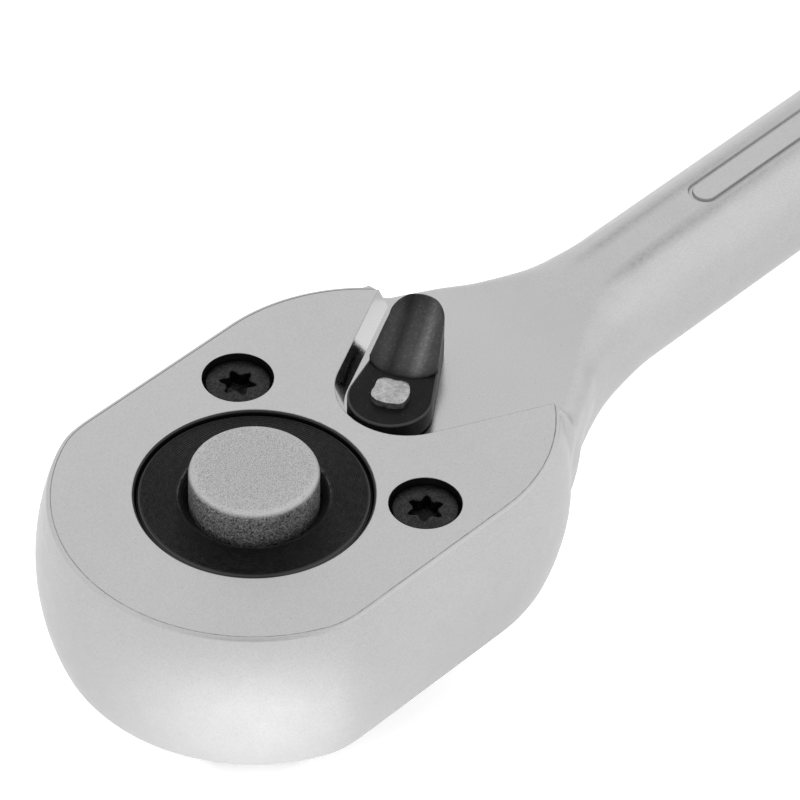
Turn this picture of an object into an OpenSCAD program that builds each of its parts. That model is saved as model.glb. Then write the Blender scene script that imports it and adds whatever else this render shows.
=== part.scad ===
// Reversible ratchet wrench with a pear-shaped head, 1/2 inch square drive
// and a quick-release button.
// Frame: origin on the drive axis in the plane a socket seats on, +X along
// the handle, +Z out of the button side. Millimetres.

/* [Head] */
// Radius of the nose about the drive axis, at the top edge
head_r = 21.1; // [20.8:0.1:21.4]
// Half width across the straight flanks, at the top edge
head_half_w = 20.0; // [19.8:0.1:20.2]
// Where the flanks turn into the rounded back
head_back_x = 16.5; // [16.0:0.1:17.0]
// Height of the head's top face
head_top = 19.5; // [19.4:0.1:19.8]
// Height of the head's bottom face
head_bottom = 0.5; // [0.3:0.1:0.8]
// How far the barrelled side stands out past the top edge
side_bulge = 1.4; // [1.0:0.1:1.6]
// Height of the widest part of the side
bulge_z = 10.8; // [10.2:0.1:11.4]
// Rounding of the bottom edge
bottom_round = 2.5; // [1.5:0.1:2.8]
// Height of the flat deck behind the cover
deck_z = 17.2; // [17.1:0.1:17.4]
// Radius of the pocket the gear turns in
pocket_r = 13.5; // [13.4:0.05:13.6]
// Top of the pocket's floor
floor_z = 5.0; // [4.6:0.1:5.0]

/* [Cover] */
// Rim of forging left standing round the cover
rim_w = 0.4; // [0.4:0.05:0.8]
// Radius of the round front of the lever notch
notch_r = 7.4; // [7.2:0.05:7.5]
// Centre of the notch's round front
notch_x = 22.35; // [22.2:0.05:22.5]
// Angle each notch wall makes with the handle
notch_angle = 26; // [24:1:28]
// Bore of the cover round the drive
cover_bore_r = 12.2; // [12.2:0.01:12.22]
// Bright chamfer round that bore
cover_chamfer = 0.3; // [0.2:0.05:0.4]
// Screw position along the handle
screw_x = 11.1; // [10.9:0.1:11.2]
// Screw position either side of the middle
screw_y = 13.48; // [13.4:0.02:13.7]
// Radius of the recess each screw head sits in
screw_recess_r = 3.78; // [3.76:0.02:3.9]
// Radius of each screw head
screw_head_r = 3.7; // [3.5:0.02:3.72]
// Depth of each screw head below the cover's face
screw_sink = 0.7; // [0.5:0.05:0.8]
// Radius of each screw's shank
screw_r = 1.9; // [1.8:0.05:1.95]

/* [Drive] */
// Number of ratchet teeth
teeth = 72; // [72:36:72]
// Radius over the teeth
tip_r = 13.2; // [13.15:0.01:13.22]
// Radius at the bottom of the teeth
root_r = 12.6; // [12.55:0.01:12.65]
// Radius of the journal running in the cover
journal_r = 12.15; // [12.12:0.01:12.17]
// Radius of the hub running in the head's floor
hub_r = 11.0; // [10.9:0.05:11.1]
// Radial running clearance of shafts in their bores
run_gap = 0.05; // [0.03:0.01:0.08]
// Width of the square drive across flats
square_w = 12.7; // [12.6:0.01:12.7]
// Length of the square drive
square_l = 14.5; // [14.4:0.1:15.6]
// Radius over the eased corners of the square
square_corner_r = 8.45; // [8.3:0.05:8.6]

/* [Quick release] */
// Radius of the push button
button_r = 6.7; // [6.65:0.01:6.7]
// Height of the button's top
button_top = 23.0; // [22.6:0.1:23.4]
// How far the button presses in
button_travel = 2.5; // [2.0:0.1:2.5]
// Radius of the countersink round the button
countersink_r = 7.8; // [7.5:0.1:8.0]
// Radius of the detent ball
ball_r = 2.0; // [1.95:0.01:2.0]
// Height of the ball's centre
ball_z = -7.5; // [-7.8:0.1:-7.2]
// Distance of the ball's centre from the drive axis
ball_out = 5.3; // [5.25:0.01:5.35]
// Inward travel of the ball for each millimetre of button travel
ramp = 0.36; // [0.34:0.01:0.36]
// Largest radius of the release pin
pin_big_r = 3.6; // [3.55:0.01:3.62]
// Radius of the release pin's neck
pin_neck_r = 2.2; // [2.1:0.05:2.2]

/* [Selector] */
// Distance from the drive axis to the selector axis
selector_x = 20.0; // [19.9:0.05:20.1]
// Radius of the selector shaft
shaft_r = 3.0; // [2.9:0.02:3.0]
// Angle of the lever at rest
lever_angle = 27.5; // [27.5:0.5:27.5]
// Radius of the lever's round end
lever_hub_r = 4.5; // [4.3:0.1:4.6]
// Distance from the selector axis to the lever's tip
lever_reach = 12.6; // [12.2:0.1:13.0]
// Rounding of the lever's tip
lever_tip_r = 3.0; // [2.8:0.1:3.1]
// Height of the lever's flat top
lever_top = 19.7; // [19.5:0.1:19.9]
// Height of the thumb pad's crest
pad_top = 23.5; // [23.0:0.1:23.8]
// Width of the staked square on the shaft's end
stake_w = 3.7; // [3.4:0.1:3.7]

/* [Pawl] */
// Distance from the drive axis to the pawl's pivot
pivot_x = 14.9; // [14.85:0.05:14.95]
// Radius of the pivot pin
pivot_r = 0.95; // [0.9:0.01:0.95]
// Radius of the pawl's back about the drive axis
pawl_back_r = 16.6; // [16.5:0.05:16.6]
// Half of the arc the pawl covers
pawl_half_arc = 35; // [35:1:35]
// Rock of the pawl either side of its middle
rock = 4; // [4:1:4]

/* [Handle] */
// Height of the handle's centreline
handle_z = 10.6; // [10.4:0.1:10.8]
// Radius of the bare shank
shank_r = 7.5; // [7.3:0.1:7.6]
// Half thickness of the shank across its flats
flat_rise = 7.1; // [6.8:0.1:7.1]
// Where the neck has narrowed to the shank
neck_end = 56; // [54:1:58]
// Where the grip begins
grip_x = 108; // [106:1:110]
// Length of the tang inside the grip
tang_l = 100; // [90:1:104]

/* [Grip] */
// Radius of the collar at the front of the grip
collar_r = 12.6; // [12.2:0.1:13.0]
// Radius of the grip's waist behind the collar
waist_r = 11.2; // [10.8:0.1:11.6]
// Radius of the grip's belly
belly_r = 13.6; // [13.2:0.1:14.0]
// Radius of the hard core under the soft sleeve
core_r = 9.4; // [9.0:0.1:9.6]
// Where the soft sleeve ends and the end cap begins
sleeve_end = 222; // [220:1:224]
// Where the wrench ends
wrench_end = 236; // [235:0.5:238]
// Radius of the hanging hole
hang_r = 3.2; // [3.0:0.1:3.4]

/* [Hidden] */
$fn = 96;
square_turn = 45;
barrel_r = (pow(head_top - bulge_z, 2) + side_bulge * side_bulge) / (2 * side_bulge);
gear_low = floor_z + 0.6;
gear_high = deck_z - 0.3;
journal_top = head_top - 0.3;
pawl_low = floor_z + 0.7;
pawl_high = deck_z - 1.6;
roof_z = deck_z - 1.3;
cap_bottom = 14.0;
cap_seat = cap_bottom - button_travel - 0.5;
spring_seat = 3.0;
spring_r = 4.05;
wire_r = 0.35;
cap_gap = 0.07;
pin_bottom = ball_z - 3.0;
ramp_len = sqrt(1 + ramp * ramp);
ramp_r = ball_out - (ball_r + 0.02) / ramp_len;
ramp_z = ball_z - (ball_r + 0.02) * ramp / ramp_len;
cone_low = ramp_z - (pin_big_r - ramp_r) / ramp;
cone_high = ramp_z + (ramp_r - pin_neck_r) / ramp;
plunger_r = 1.0;
plunger_z = (pawl_low + pawl_high) / 2;
plunger_reach = 3.5;
panel_x = 68;
panel_l = 32;
hang_x = wrench_end - 7;

function ease(t) = t < 0 ? 0 : t > 1 ? 1 : t * t * (3 - 2 * t);

// Outward offset of the head's barrelled side at height z, measured from the top edge
function barrel(z) = sqrt(barrel_r * barrel_r - pow(z - bulge_z, 2)) - (barrel_r - side_bulge);
function toe(z) = z - head_bottom >= bottom_round ? 0
  : bottom_round - sqrt(pow(bottom_round, 2) - pow(bottom_round - (z - head_bottom), 2));
function side_z() = concat(
  [for (a = [0 : 18 : 72]) head_bottom + bottom_round * (1 - cos(a))],
  [for (i = [0 : 8]) head_bottom + bottom_round + (head_top - head_bottom - bottom_round) * i / 8]);
function side_points(r) = [for (z = side_z()) [r + barrel(z) - toe(z), z]];

// Radius of the neck and shank about the handle's centreline
function neck_radius(x) = x > neck_end ? shank_r : shank_r + 0.013 * pow(neck_end - x, 2);
function underside(x) = head_bottom + 0.7 + (handle_z - flat_rise - head_bottom - 0.7)
  * ease((x - 30) / 24);

// Outline of the ratchet teeth, grown by c on every flank
function gear_points(c) = [for (i = [0 : teeth - 1]) for (k = [0 : 3])
  let (
    side = k < 2 ? -1 : 1,
    outer = k == 1 || k == 2,
    half = (outer ? 0.35 : 2.1) + c * 5.3,
    r = (outer ? tip_r : root_r) + c,
    a = (i * 360 / teeth) + side * half)
  [r * cos(a), r * sin(a)]];

// Radius of the grip's outside
function grip_radius(x) =
  let (t = (x - grip_x) / (sleeve_end - grip_x))
  t < 0.28 ? collar_r + (waist_r - collar_r) * ease(t / 0.28)
  : t < 0.72 ? waist_r + (belly_r - waist_r) * ease((t - 0.28) / 0.44)
  : belly_r + (12.2 - belly_r) * ease((t - 0.72) / 0.28);

// Points and faces of a coil spring standing on z = 0
function coil_points(r, w, h, turns, per_turn, ring) = [
  for (i = [0 : turns * per_turn]) for (j = [0 : ring - 1])
  let (
    t = i / (turns * per_turn),
    lift = w + (h - 2 * w) * (t < 0.12 ? t * 0.35 : t > 0.88 ? 1 - (1 - t) * 0.35
      : 0.042 + (t - 0.12) * 0.916 / 0.76),
    a = i * 360 / per_turn,
    b = j * 360 / ring,
    d = r + w * cos(b))
  [d * cos(a), d * sin(a), lift + w * sin(b)]];
function coil_faces(steps, ring) = concat(
  [[for (j = [0 : ring - 1]) j]],
  [for (i = [0 : steps - 1]) for (j = [0 : ring - 1]) for (half = [0 : 1])
    let (a = i * ring + j, b = i * ring + (j + 1) % ring)
    half == 0 ? [a, a + ring, b + ring] : [a, b + ring, b]],
  [[for (j = [ring - 1 : -1 : 0]) steps * ring + j]]);

module coil(r, w, h, turns, per_turn, ring) {
  polyhedron(
    points = coil_points(r, w, h, turns, per_turn, ring),
    faces = coil_faces(turns * per_turn, ring),
    convexity = 8);
}

// A round bar or bore along z between two heights
module bar(r, low, high) {
  translate([0, 0, low]) cylinder(r = r, h = high - low);
}

module wedge(half_angle, reach) {
  polygon([[0, 0], [reach, -reach * tan(half_angle)], [reach, reach * tan(half_angle)]]);
}

module head_outline(inset) {
  intersection() {
    circle(r = head_r - inset);
    square([60, 2 * (head_half_w - inset)], center = true);
  }
  translate([0, -(head_half_w - inset)]) square([head_back_x, 2 * (head_half_w - inset)]);
  translate([head_back_x, 0]) circle(r = head_half_w - inset);
}

// V-shaped opening the lever swings in, running out over the neck
module notch_outline() {
  touch_x = notch_x - notch_r * sin(notch_angle);
  touch_y = notch_r * cos(notch_angle);
  far_x = 45;
  far_y = touch_y + (far_x - touch_x) * tan(notch_angle);
  translate([notch_x, 0]) circle(r = notch_r);
  polygon([[touch_x, -touch_y], [far_x, -far_y], [far_x, far_y], [touch_x, touch_y]]);
}

module head_slab(low_x, high_x) {
  half = side_points(head_half_w);
  n = len(half);
  translate([low_x, 0, 0])
    rotate([90, 0, 90])
      linear_extrude(height = high_x - low_x)
        polygon(concat(half, [for (i = [n - 1 : -1 : 0]) [-half[i][0], half[i][1]]]));
}

module head_round(r) {
  rotate_extrude()
    polygon(concat([[0, head_bottom]], side_points(r), [[0, head_top]]));
}

module head_blank() {
  intersection() {
    head_round(head_r);
    head_slab(-30, 30);
  }
  head_slab(-2, head_back_x);
  translate([head_back_x, 0, 0]) head_round(head_half_w);
}

// Neck and shank, turned about the handle's centreline and flattened above and below
module shank_blank() {
  intersection() {
    translate([0, 0, handle_z])
      rotate([0, 90, 0])
        rotate_extrude()
          polygon(concat(
            [[0, 28]],
            [for (x = [28 : 2 : neck_end]) [neck_radius(x), x]],
            [[shank_r, grip_x + 4], [0, grip_x + 4]]));
    translate([0, 30, 0])
      rotate([90, 0, 0])
        linear_extrude(height = 60)
          polygon(concat(
            [[grip_x + 5, handle_z + flat_rise], [64, handle_z + flat_rise], [46, deck_z],
              [27, deck_z], [27, underside(27)]],
            [for (x = [30 : 2 : 54]) [x, underside(x)]],
            [[grip_x + 5, handle_z - flat_rise]]));
  }
}

module tang(gap) {
  intersection() {
    translate([grip_x + 3, 0, handle_z])
      rotate([0, 90, 0])
        cylinder(r = 5.8 + gap, h = tang_l + gap);
    translate([grip_x, -4.6 - gap, 0]) cube([tang_l + 10, 9.2 + 2 * gap, 30]);
  }
}

// Stadium outline, long axis along the handle
module stadium(low_x, high_x, half_w) {
  translate([low_x + half_w, 0]) circle(r = half_w);
  translate([high_x - half_w, 0]) circle(r = half_w);
  translate([low_x + half_w, -half_w]) square([high_x - low_x - 2 * half_w, 2 * half_w]);
}

module head_body() {
  color("silver")
    difference() {
      union() {
        head_blank();
        shank_blank();
        tang(0);
      }
      translate([0, 0, deck_z])
        linear_extrude(height = 4)
          union() {
            head_outline(rim_w - 0.03);
            notch_outline();
          }
      bar(pocket_r, floor_z, head_top);
      bar(hub_r + run_gap, head_bottom - 1, head_top);
      // Side pocket of the pawl, roofed so the deck stays whole
      translate([0, 0, floor_z + 0.5])
        linear_extrude(height = roof_z - floor_z - 0.5)
          intersection() {
            circle(r = 17.5);
            wedge(40, 20);
          }
      translate([pivot_x, 0, 0]) bar(pivot_r, head_bottom - 1, roof_z + 0.9);
      translate([selector_x, 0, 0]) bar(shaft_r + run_gap, floor_z, head_top);
      // Ring groove the plunger's tip swings in
      translate([selector_x, 0, 0])
        bar(plunger_reach + 0.15, plunger_z - 1.25, plunger_z + 1.25);
      for (s = [-1, 1])
        translate([screw_x, s * screw_y, 0]) bar(screw_r, 8.8, deck_z + 1);
      // Plain recessed outline on the shank's upper flat
      translate([0, 0, handle_z + flat_rise - 0.35])
        linear_extrude(height = 2)
          difference() {
            stadium(panel_x, panel_x + panel_l, 1.9);
            stadium(panel_x + 0.5, panel_x + panel_l - 0.5, 1.4);
          }
    }
}

module cover_plate() {
  color("gainsboro")
    difference() {
      translate([0, 0, deck_z])
        linear_extrude(height = head_top - deck_z)
          difference() {
            head_outline(rim_w);
            notch_outline();
          }
      bar(cover_bore_r, deck_z - 1, head_top + 1);
      translate([0, 0, head_top - cover_chamfer])
        cylinder(r1 = cover_bore_r, r2 = cover_bore_r + 2 * cover_chamfer, h = 2 * cover_chamfer);
      for (s = [-1, 1])
        translate([screw_x, s * screw_y, 0]) {
          bar(screw_r + 0.1, deck_z - 1, head_top);
          bar(screw_recess_r, head_top - screw_sink, head_top + 1);
          translate([0, 0, deck_z + 0.2])
            cylinder(r1 = screw_r + 0.1, r2 = screw_head_r, h = head_top - screw_sink - deck_z - 0.2);
        }
    }
}

// Countersunk screw with a six-lobed socket
module cover_screw() {
  head_z = head_top - screw_sink;
  difference() {
    rotate_extrude()
      polygon([[0, 9.2], [screw_r - 0.4, 9.2], [screw_r, 9.6], [screw_r, deck_z + 0.2],
        [screw_head_r, head_z], [0, head_z]]);
    translate([0, 0, head_z - 1.3])
      linear_extrude(height = 2)
        union() {
          circle(r = 1.35);
          for (a = [0 : 60 : 300])
            rotate([0, 0, a]) translate([1.3, 0]) circle(r = 0.55, $fn = 24);
        }
  }
}

module cover_screw_left() {
  color("dimgray")
    translate([screw_x, screw_y, 0]) cover_screw();
}

module cover_screw_right() {
  color("dimgray")
    translate([screw_x, -screw_y, 0]) cover_screw();
}

// Places a piece at the detent ball's centre, with +X pointing to the drive axis
module at_ball() {
  rotate([0, 0, square_turn]) translate([-ball_out, 0, ball_z]) children();
}

module drive_gear() {
  color([0.17, 0.17, 0.18])
    difference() {
      union() {
        translate([0, 0, gear_low])
          linear_extrude(height = gear_high - gear_low) polygon(gear_points(0));
        rotate_extrude()
          polygon([[0, 0], [hub_r - 0.4, 0], [hub_r, 0.4], [hub_r, gear_low + 1],
            [journal_r, gear_low + 1], [journal_r, journal_top - 0.35],
            [journal_r - 0.35, journal_top], [0, journal_top]]);
        intersection() {
          rotate([0, 0, square_turn])
            translate([-square_w / 2, -square_w / 2, -square_l])
              cube([square_w, square_w, square_l + 1]);
          rotate_extrude()
            polygon([[0, -square_l], [square_corner_r - 1.9, -square_l],
              [square_corner_r, -square_l + 1.4], [square_corner_r, 2], [0, 2]]);
        }
      }
      bar(button_r + cap_gap, cap_seat, head_top + 1);
      translate([0, 0, journal_top - (countersink_r - button_r - cap_gap)])
        cylinder(r1 = button_r + cap_gap, r2 = countersink_r + 1,
          h = countersink_r - button_r - cap_gap + 1);
      bar(spring_r + wire_r + 0.3, spring_seat, head_top);
      bar(pin_big_r + 0.06, pin_bottom - button_travel - 0.5, head_top);
      // Hole of the detent ball, closed in round the ball at the drive's face
      at_ball() rotate([0, 90, 0]) cylinder(r = ball_r + 0.04, h = 3);
      at_ball() sphere(r = ball_r + 0.04);
    }
}

module thrust_washer() {
  color("goldenrod")
    difference() {
      bar(pocket_r - 0.1, floor_z, gear_low - 0.1);
      bar(hub_r + 0.2, floor_z - 1, gear_low + 1);
    }
}

module release_button() {
  round_r = 0.8;
  color("lightgray")
    rotate_extrude()
      polygon(concat(
        [[0, cap_bottom], [button_r - 0.4, cap_bottom], [button_r, cap_bottom + 0.4]],
        [for (a = [0 : 15 : 90])
          [button_r - round_r + round_r * cos(a), button_top - round_r + round_r * sin(a)]],
        [[0, button_top]]));
}

module release_pin() {
  color("gray")
    rotate_extrude()
      polygon([[0, pin_bottom], [pin_big_r - 0.5, pin_bottom], [pin_big_r, pin_bottom + 0.5],
        [pin_big_r, cone_low], [pin_neck_r, cone_high], [pin_neck_r, cap_bottom],
        [0, cap_bottom]]);
}

module release_spring() {
  color("darkgray")
    translate([0, 0, spring_seat])
      coil(spring_r, wire_r, cap_bottom - spring_seat, 6, 18, 6);
}

module detent_ball() {
  color("whitesmoke")
    at_ball() sphere(r = ball_r);
}

// Outline of the rocking pawl in its middle position
module pawl_outline() {
  difference() {
    intersection() {
      circle(r = pawl_back_r);
      wedge(pawl_half_arc, 20);
    }
    for (s = [-1, 1])
      translate([pivot_x, 0]) rotate([0, 0, s * rock]) translate([-pivot_x, 0]) {
        polygon(gear_points(run_gap));
        translate([selector_x, 0]) circle(r = plunger_reach + run_gap);
      }
    // Relief between the two toothed ends
    intersection() {
      circle(r = 13.45);
      wedge(19.5, 20);
    }
    translate([pivot_x, 0]) circle(r = pivot_r + run_gap, $fn = 48);
  }
}

module pawl() {
  color([0.30, 0.30, 0.32])
    translate([0, 0, pawl_low])
      linear_extrude(height = pawl_high - pawl_low)
        translate([pivot_x, 0]) rotate([0, 0, -rock]) translate([-pivot_x, 0]) pawl_outline();
}

module pawl_pin() {
  color("slategray")
    translate([pivot_x, 0, 0]) bar(pivot_r, head_bottom + 0.1, roof_z + 0.7);
}

// Places a piece drawn with the lever pointing along +X
module at_selector() {
  translate([selector_x, 0, 0]) rotate([0, 0, lever_angle]) children();
}

module selector_shaft() {
  color("silver")
    at_selector()
      difference() {
        union() {
          bar(shaft_r, floor_z + 0.1, deck_z);
          translate([-stake_w / 2, -stake_w / 2, deck_z - 1])
            cube([stake_w, stake_w, lever_top + 1 - deck_z + 1]);
        }
        // Groove of the seal
        rotate_extrude()
          polygon([[2.25, roof_z + 0.25], [4, roof_z + 0.25], [4, roof_z + 1.05],
            [2.25, roof_z + 1.05]]);
        // Cross bore of the plunger and its spring
        translate([1.9, 0, plunger_z]) rotate([0, -90, 0]) cylinder(r = plunger_r + 0.04, h = 8);
      }
}

module selector_seal() {
  color([0.08, 0.08, 0.08])
    translate([selector_x, 0, roof_z + 0.65])
      rotate_extrude()
        translate([2.64, 0]) circle(r = 0.38, $fn = 24);
}

module lever_outline() {
  tip_x = lever_reach - lever_tip_r;
  circle(r = lever_hub_r);
  translate([tip_x, 0]) circle(r = lever_tip_r);
  polygon([[0.4, -lever_hub_r + 0.02], [5.6, -3.65], [tip_x, -lever_tip_r],
    [tip_x, lever_tip_r], [5.6, 3.65], [0.4, lever_hub_r - 0.02]]);
}

module selector_lever() {
  pad_x = 3.0;
  color([0.14, 0.14, 0.15])
    at_selector()
      difference() {
        union() {
          translate([0, 0, deck_z + 0.15])
            linear_extrude(height = lever_top - deck_z - 0.15) lever_outline();
          // Dished thumb pad, rising to a crest at the tip
          intersection() {
            translate([0, 0, lever_top - 1])
              linear_extrude(height = 6)
                intersection() {
                  lever_outline();
                  union() {
                    translate([pad_x + 3.4, 0]) circle(r = 3.4);
                    translate([pad_x + 3.4, -6]) square([20, 12]);
                  }
                }
            translate([0, 10, 0])
              rotate([90, 0, 0])
                linear_extrude(height = 20)
                  polygon(concat(
                    [[pad_x - 1, lever_top - 2], [20, lever_top - 2], [20, pad_top - 1.2],
                      [lever_reach, pad_top - 0.5], [lever_reach - 0.8, pad_top]],
                    [for (i = [8 : -1 : 0])
                      [pad_x + (lever_reach - 0.9 - pad_x) * i / 8,
                        lever_top + 0.3 + (pad_top - lever_top - 0.3) * pow(i / 8, 1.9)]],
                    [[pad_x - 1, lever_top + 0.1]]));
          }
        }
        translate([-stake_w / 2 - 0.02, -stake_w / 2 - 0.02, deck_z - 1])
          cube([stake_w + 0.04, stake_w + 0.04, 10]);
      }
}

module pawl_plunger() {
  color("lightsteelblue")
    at_selector()
      translate([-0.7, 0, plunger_z])
        rotate([0, -90, 0]) {
          cylinder(r = plunger_r, h = plunger_reach - 0.7 - plunger_r);
          translate([0, 0, plunger_reach - 0.7 - plunger_r]) sphere(r = plunger_r, $fn = 48);
        }
}

module plunger_spring() {
  color("darkgray")
    at_selector()
      translate([1.88, 0, plunger_z])
        rotate([0, -90, 0]) coil(0.72, 0.15, 2.56, 4, 14, 6);
}

// Solid of the grip's outside, grown or shrunk by d
module grip_form(d, low_x, high_x) {
  n = 30;
  translate([0, 0, handle_z])
    rotate([0, 90, 0])
      rotate_extrude()
        polygon(concat(
          [[0, low_x]],
          [for (i = [0 : n]) let (x = low_x + (high_x - low_x) * i / n) [grip_radius(x) + d, x]],
          [[0, high_x]]));
}

// Side windows in the sleeve that the core's pads show through
module grip_windows(gap) {
  for (s = [0, 1])
    mirror([0, s, 0])
      translate([0, 30, handle_z])
        rotate([90, 0, 0])
          linear_extrude(height = 30 - core_r + 1.5) stadium(134 - gap, 206 + gap, 3.6 + gap);
}

module grip_core() {
  color([0.30, 0.30, 0.31])
    difference() {
      union() {
        grip_form(0, grip_x, grip_x + 7);
        translate([grip_x + 5, 0, handle_z])
          rotate([0, 90, 0])
            cylinder(r = core_r, h = sleeve_end - grip_x - 5);
        intersection() {
          grip_form(-0.25, grip_x + 8, sleeve_end - 2);
          grip_windows(0);
        }
      }
      translate([0, 0, handle_z])
        rotate([0, 90, 0]) bar(shank_r + 0.03, grip_x - 1, grip_x + 4.03);
      tang(0.03);
    }
}

module grip_sleeve() {
  color([0.12, 0.12, 0.13])
    difference() {
      grip_form(0, grip_x + 7, sleeve_end);
      translate([0, 0, handle_z])
        rotate([0, 90, 0]) bar(core_r, grip_x, sleeve_end + 1);
      grip_windows(0.02);
      // Finger grooves round the front and the back of the grip
      for (x = [120 : 4 : 128])
        translate([x, 0, handle_z])
          rotate([0, 90, 0])
            rotate_extrude() translate([grip_radius(x) + 0.35, 0]) circle(r = 0.9, $fn = 24);
      for (x = [210 : 4 : 218])
        translate([x, 0, handle_z])
          rotate([0, 90, 0])
            rotate_extrude() translate([grip_radius(x) + 0.35, 0]) circle(r = 0.9, $fn = 24);
    }
}

module end_cap() {
  color([0.22, 0.22, 0.23])
    difference() {
      union() {
        intersection() {
          translate([0, 0, handle_z])
            rotate([0, 90, 0])
              rotate_extrude()
                polygon(concat(
                  [[0, sleeve_end]],
                  [for (i = [0 : 12])
                    let (a = i * 90 / 12)
                    [12.2 * pow(cos(a * 0.93), 0.55), sleeve_end + (wrench_end - sleeve_end) * sin(a)]],
                  [[0, wrench_end]]));
          translate([0, 30, handle_z])
            rotate([90, 0, 0])
              linear_extrude(height = 60)
                polygon([[sleeve_end - 1, -13], [sleeve_end + 2, -12.3], [hang_x - 4, -6.2],
                  [wrench_end + 1, -5.6], [wrench_end + 1, 5.6], [hang_x - 4, 6.2],
                  [sleeve_end + 2, 12.3], [sleeve_end - 1, 13]]);
        }
      }
      translate([hang_x, 0, 0]) bar(hang_r, handle_z - 20, handle_z + 20);
    }
}

head_body();
cover_plate();
cover_screw_left();
cover_screw_right();
drive_gear();
thrust_washer();
release_button();
release_pin();
release_spring();
detent_ball();
pawl();
pawl_pin();
selector_shaft();
selector_seal();
selector_lever();
pawl_plunger();
plunger_spring();
grip_core();
grip_sleeve();
end_cap();
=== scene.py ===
import math

import bmesh
import bpy
from mathutils import Matrix, Vector, noise


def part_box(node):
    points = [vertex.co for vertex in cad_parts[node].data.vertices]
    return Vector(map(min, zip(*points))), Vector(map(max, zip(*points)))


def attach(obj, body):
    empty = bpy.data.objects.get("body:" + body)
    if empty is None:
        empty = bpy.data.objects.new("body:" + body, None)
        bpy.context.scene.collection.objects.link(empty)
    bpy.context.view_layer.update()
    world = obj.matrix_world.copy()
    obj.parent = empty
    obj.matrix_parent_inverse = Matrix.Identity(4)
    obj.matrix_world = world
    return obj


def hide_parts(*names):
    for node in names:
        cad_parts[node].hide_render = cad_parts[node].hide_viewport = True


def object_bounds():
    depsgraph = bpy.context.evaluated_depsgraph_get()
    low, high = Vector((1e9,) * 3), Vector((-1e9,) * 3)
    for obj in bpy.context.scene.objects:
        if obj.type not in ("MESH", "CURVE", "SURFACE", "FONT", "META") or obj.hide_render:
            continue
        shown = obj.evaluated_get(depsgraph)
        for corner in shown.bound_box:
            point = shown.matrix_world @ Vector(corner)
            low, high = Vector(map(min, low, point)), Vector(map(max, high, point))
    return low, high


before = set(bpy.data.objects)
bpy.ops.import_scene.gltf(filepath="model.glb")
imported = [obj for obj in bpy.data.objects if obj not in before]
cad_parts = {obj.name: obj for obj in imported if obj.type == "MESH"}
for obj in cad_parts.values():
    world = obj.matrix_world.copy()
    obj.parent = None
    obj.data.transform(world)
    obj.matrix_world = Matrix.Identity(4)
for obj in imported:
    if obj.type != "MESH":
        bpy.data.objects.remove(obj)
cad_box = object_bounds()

MM = 0.001
TAU = 2 * math.pi
scene = bpy.context.scene


# ---- places from the frame
def low(node):
    return [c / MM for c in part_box(node)[0]]


def high(node):
    return [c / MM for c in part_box(node)[1]]


def middle(node):
    return [(a + b) / 2 for a, b in zip(low(node), high(node))]


HEAD_TOP = high("cover_plate")[2]
DECK = low("cover_plate")[2]
HEAD_LOW = low("head_body")[2]
JOURNAL_TOP = high("drive_gear")[2]
SQUARE_LOW = low("drive_gear")[2]
BUTTON_TOP = high("release_button")[2]
BUTTON_LOW = low("release_button")[2]
BUTTON_R = (high("release_button")[0] - low("release_button")[0]) / 2
SELECTOR_X = middle("selector_seal")[0]
LEVER_LOW, LEVER_CREST = low("selector_lever")[2], high("selector_lever")[2]
SHAFT_LOW, STAKE_TOP = low("selector_shaft")[2], high("selector_shaft")[2]
PLATE_TOP = STAKE_TOP - 1.0
SCREW_X, SCREW_Y = middle("cover_screw_left")[0], middle("cover_screw_left")[1]
SCREW_TOP, SCREW_LOW = high("cover_screw_left")[2], low("cover_screw_left")[2]
SCREW_R = (high("cover_screw_left")[0] - low("cover_screw_left")[0]) / 2
GRIP_X = low("grip_core")[0]
SLEEVE_X, SLEEVE_END = low("grip_sleeve")[0], high("grip_sleeve")[0]
WRENCH_END = high("end_cap")[0]
HANDLE_Z = middle("end_cap")[2]

# All lengths below are in millimetres.
RIM = 0.4  # the body's rim round the cover
HEAD_R = -low("cover_plate")[0] + RIM  # the nose
HALF_W = high("cover_plate")[1] + RIM  # half width of the head
BACK_X = 16.5  # where the head's flanks start to close in
BULGE, BULGE_Z = 1.397, 10.8  # how far the flanks swell, and at what height
NOTCH_X, NOTCH_R, NOTCH_ANGLE = 22.35, 7.4, math.radians(26)  # the lever's opening
OPEN_X = 41.0  # past the head's rear end
SHANK_R, NECK_END = 7.5, 56.0
NECK_GROWTH, LEVEL_FROM, LEVEL_AT = 0.013, 35.0, 31.0
RIM_END, RIM_FALL = 31.1, 1.7  # where the rim runs out over the neck
UPPER_EDGE, LOWER_EDGE = 0.3, 1.10  # edge roundings of the head
FLAT_RISE = 7.1  # the shank's flat above its centreline
FLAT_TOP = HANDLE_Z + FLAT_RISE
POCKET_LOW = 5.0  # floor of the gear's pocket
BORE_R, JOURNAL_R = 12.2, 12.15  # the cover's bore and the gear's journal in it
RECESS_R = 3.78  # recess of each cover screw
CROWN_R = 0.95  # rounding of the button's crown
LEVER_ANGLE = math.radians(27.5)
HUB_R, TIP_R, REACH = 4.5, 3.0, 12.6  # the lever
TIP_X = REACH - TIP_R
PAD_X, LIP, SOFT_EDGE = 2.95, 2.5, 0.42  # its thumb pad
STAKE_HALF = 1.84
COLLAR_R, WAIST_R, BELLY_R, TAIL_R, CORE_R = 12.6, 11.2, 13.6, 12.2, 9.4  # the grip
GROOVES = [120, 124, 128, 210, 214, 218]
WINDOW_START, WINDOW_END, WINDOW_HALF = 134, 206, 3.6  # pads of the core seen in the sleeve
HANG_X = WRENCH_END - 7


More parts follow.
